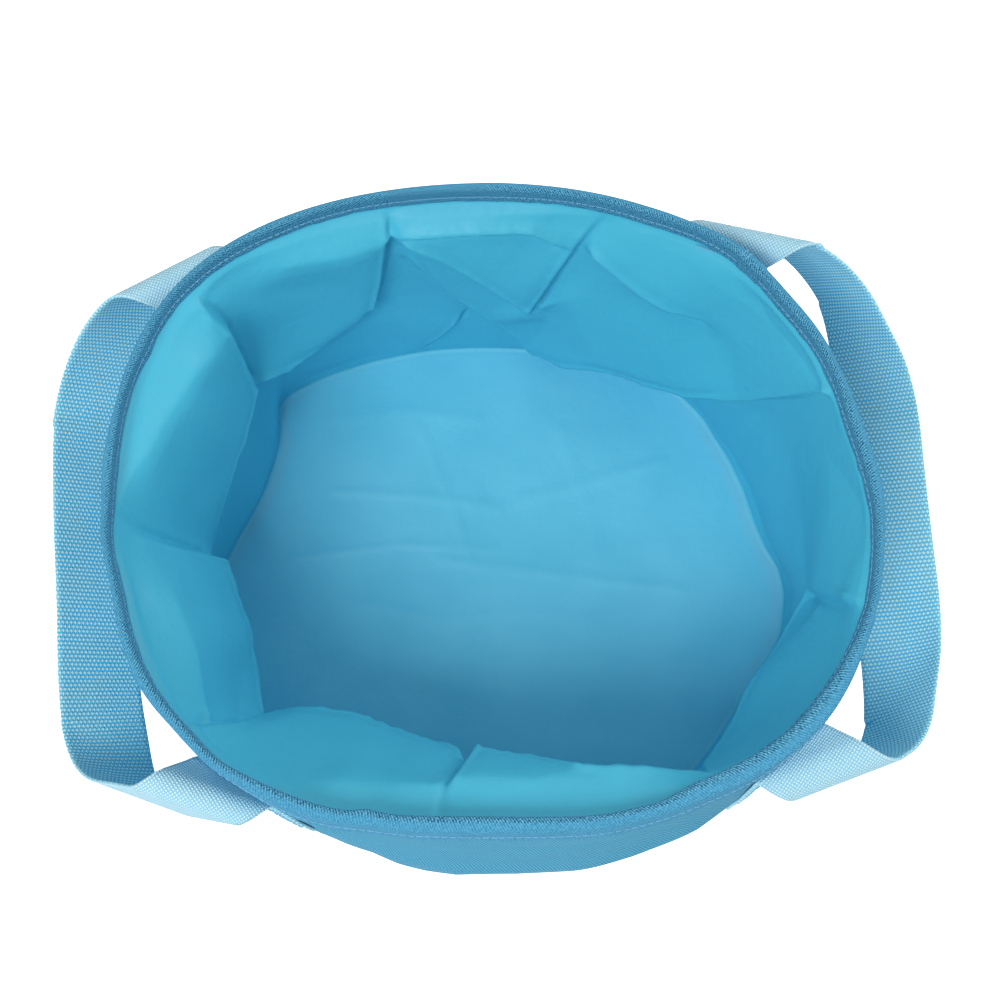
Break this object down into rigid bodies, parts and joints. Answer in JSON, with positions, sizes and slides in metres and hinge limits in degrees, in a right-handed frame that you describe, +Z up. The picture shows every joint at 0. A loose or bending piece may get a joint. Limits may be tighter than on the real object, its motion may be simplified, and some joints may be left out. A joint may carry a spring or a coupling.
{
  "type": "collapsible camp bucket",
  "caption": "Soft round-cornered camp bucket with a loose coated lining, a bound stiffened rim and webbing handles fallen outward; its walls fold flat.",
  "frame": {"origin": "middle of the base's underside, on the surface that the bucket stands on", "axes": "+Z up through the open top, +X to the right-hand handle, +Y away from the side that the shell bellies out on"},
  "size_m": [0.4294, 0.3123, 0.2009],
  "materials": {
    "woven_shell": "matte twill weave",
    "coated_lining": "smooth waterproof coating, satin",
    "seam_tape": "matte tape",
    "binding_tape": "matte ribbed tape",
    "stiffener_strip": "plain",
    "sewing_thread": "thread",
    "handle_webbing": "woven webbing"
  },
  "bodies": {
    "base": {"outer_wall": "woven_shell", "outer_base": "woven_shell", "base_seam_tape": "seam_tape", "outer_wall_seam": "seam_tape", "liner_wall": "coated_lining", "liner_base": "coated_lining", "liner_base_weld": "coated_lining", "liner_wall_seam": "coated_lining"},
    "rim": {"rim_binding": "binding_tape", "rim_stiffener": "stiffener_strip", "binding_stitch_outer": "sewing_thread", "binding_stitch_inner": "sewing_thread", "binding_lap": "binding_tape", "binding_lap_tack": "sewing_thread", "sewn_end_front_right": "handle_webbing", "strap_fold_front_right": "handle_webbing", "box_stitch_front_right": "sewing_thread", "sewn_end_back_right": "handle_webbing", "strap_fold_back_right": "handle_webbing", "box_stitch_back_right": "sewing_thread", "sewn_end_front_left": "handle_webbing", "strap_fold_front_left": "handle_webbing", "box_stitch_front_left": "sewing_thread", "sewn_end_back_left": "handle_webbing", "strap_fold_back_left": "handle_webbing", "box_stitch_back_left": "sewing_thread"},
    "handle_left": {"handle_left": "handle_webbing"},
    "handle_right": {"handle_right": "handle_webbing"}
  },
  "joints": [
    {"name": "collapse", "type": "slide", "parent": "base", "child": "rim", "axis": [0, 0, 1], "range_m": [-0.11, 0], "deforming": ["outer_wall", "liner_wall", "outer_wall_seam", "liner_wall_seam"]},
    {"name": "handle_left_swing", "type": "hinge", "parent": "rim", "child": "handle_left", "pos_m": [-0.1232, -0.0108, 0.172], "axis": [-0.096, 0.9954, 0], "range_deg": [0, 150], "deforming": ["strap_fold_front_left", "strap_fold_back_left"]},
    {"name": "handle_right_swing", "type": "hinge", "parent": "rim", "child": "handle_right", "pos_m": [0.1168, 0.0027, 0.172], "axis": [0.1058, -0.9944, 0], "range_deg": [0, 150], "deforming": ["strap_fold_front_right", "strap_fold_back_right"]}
  ]
}
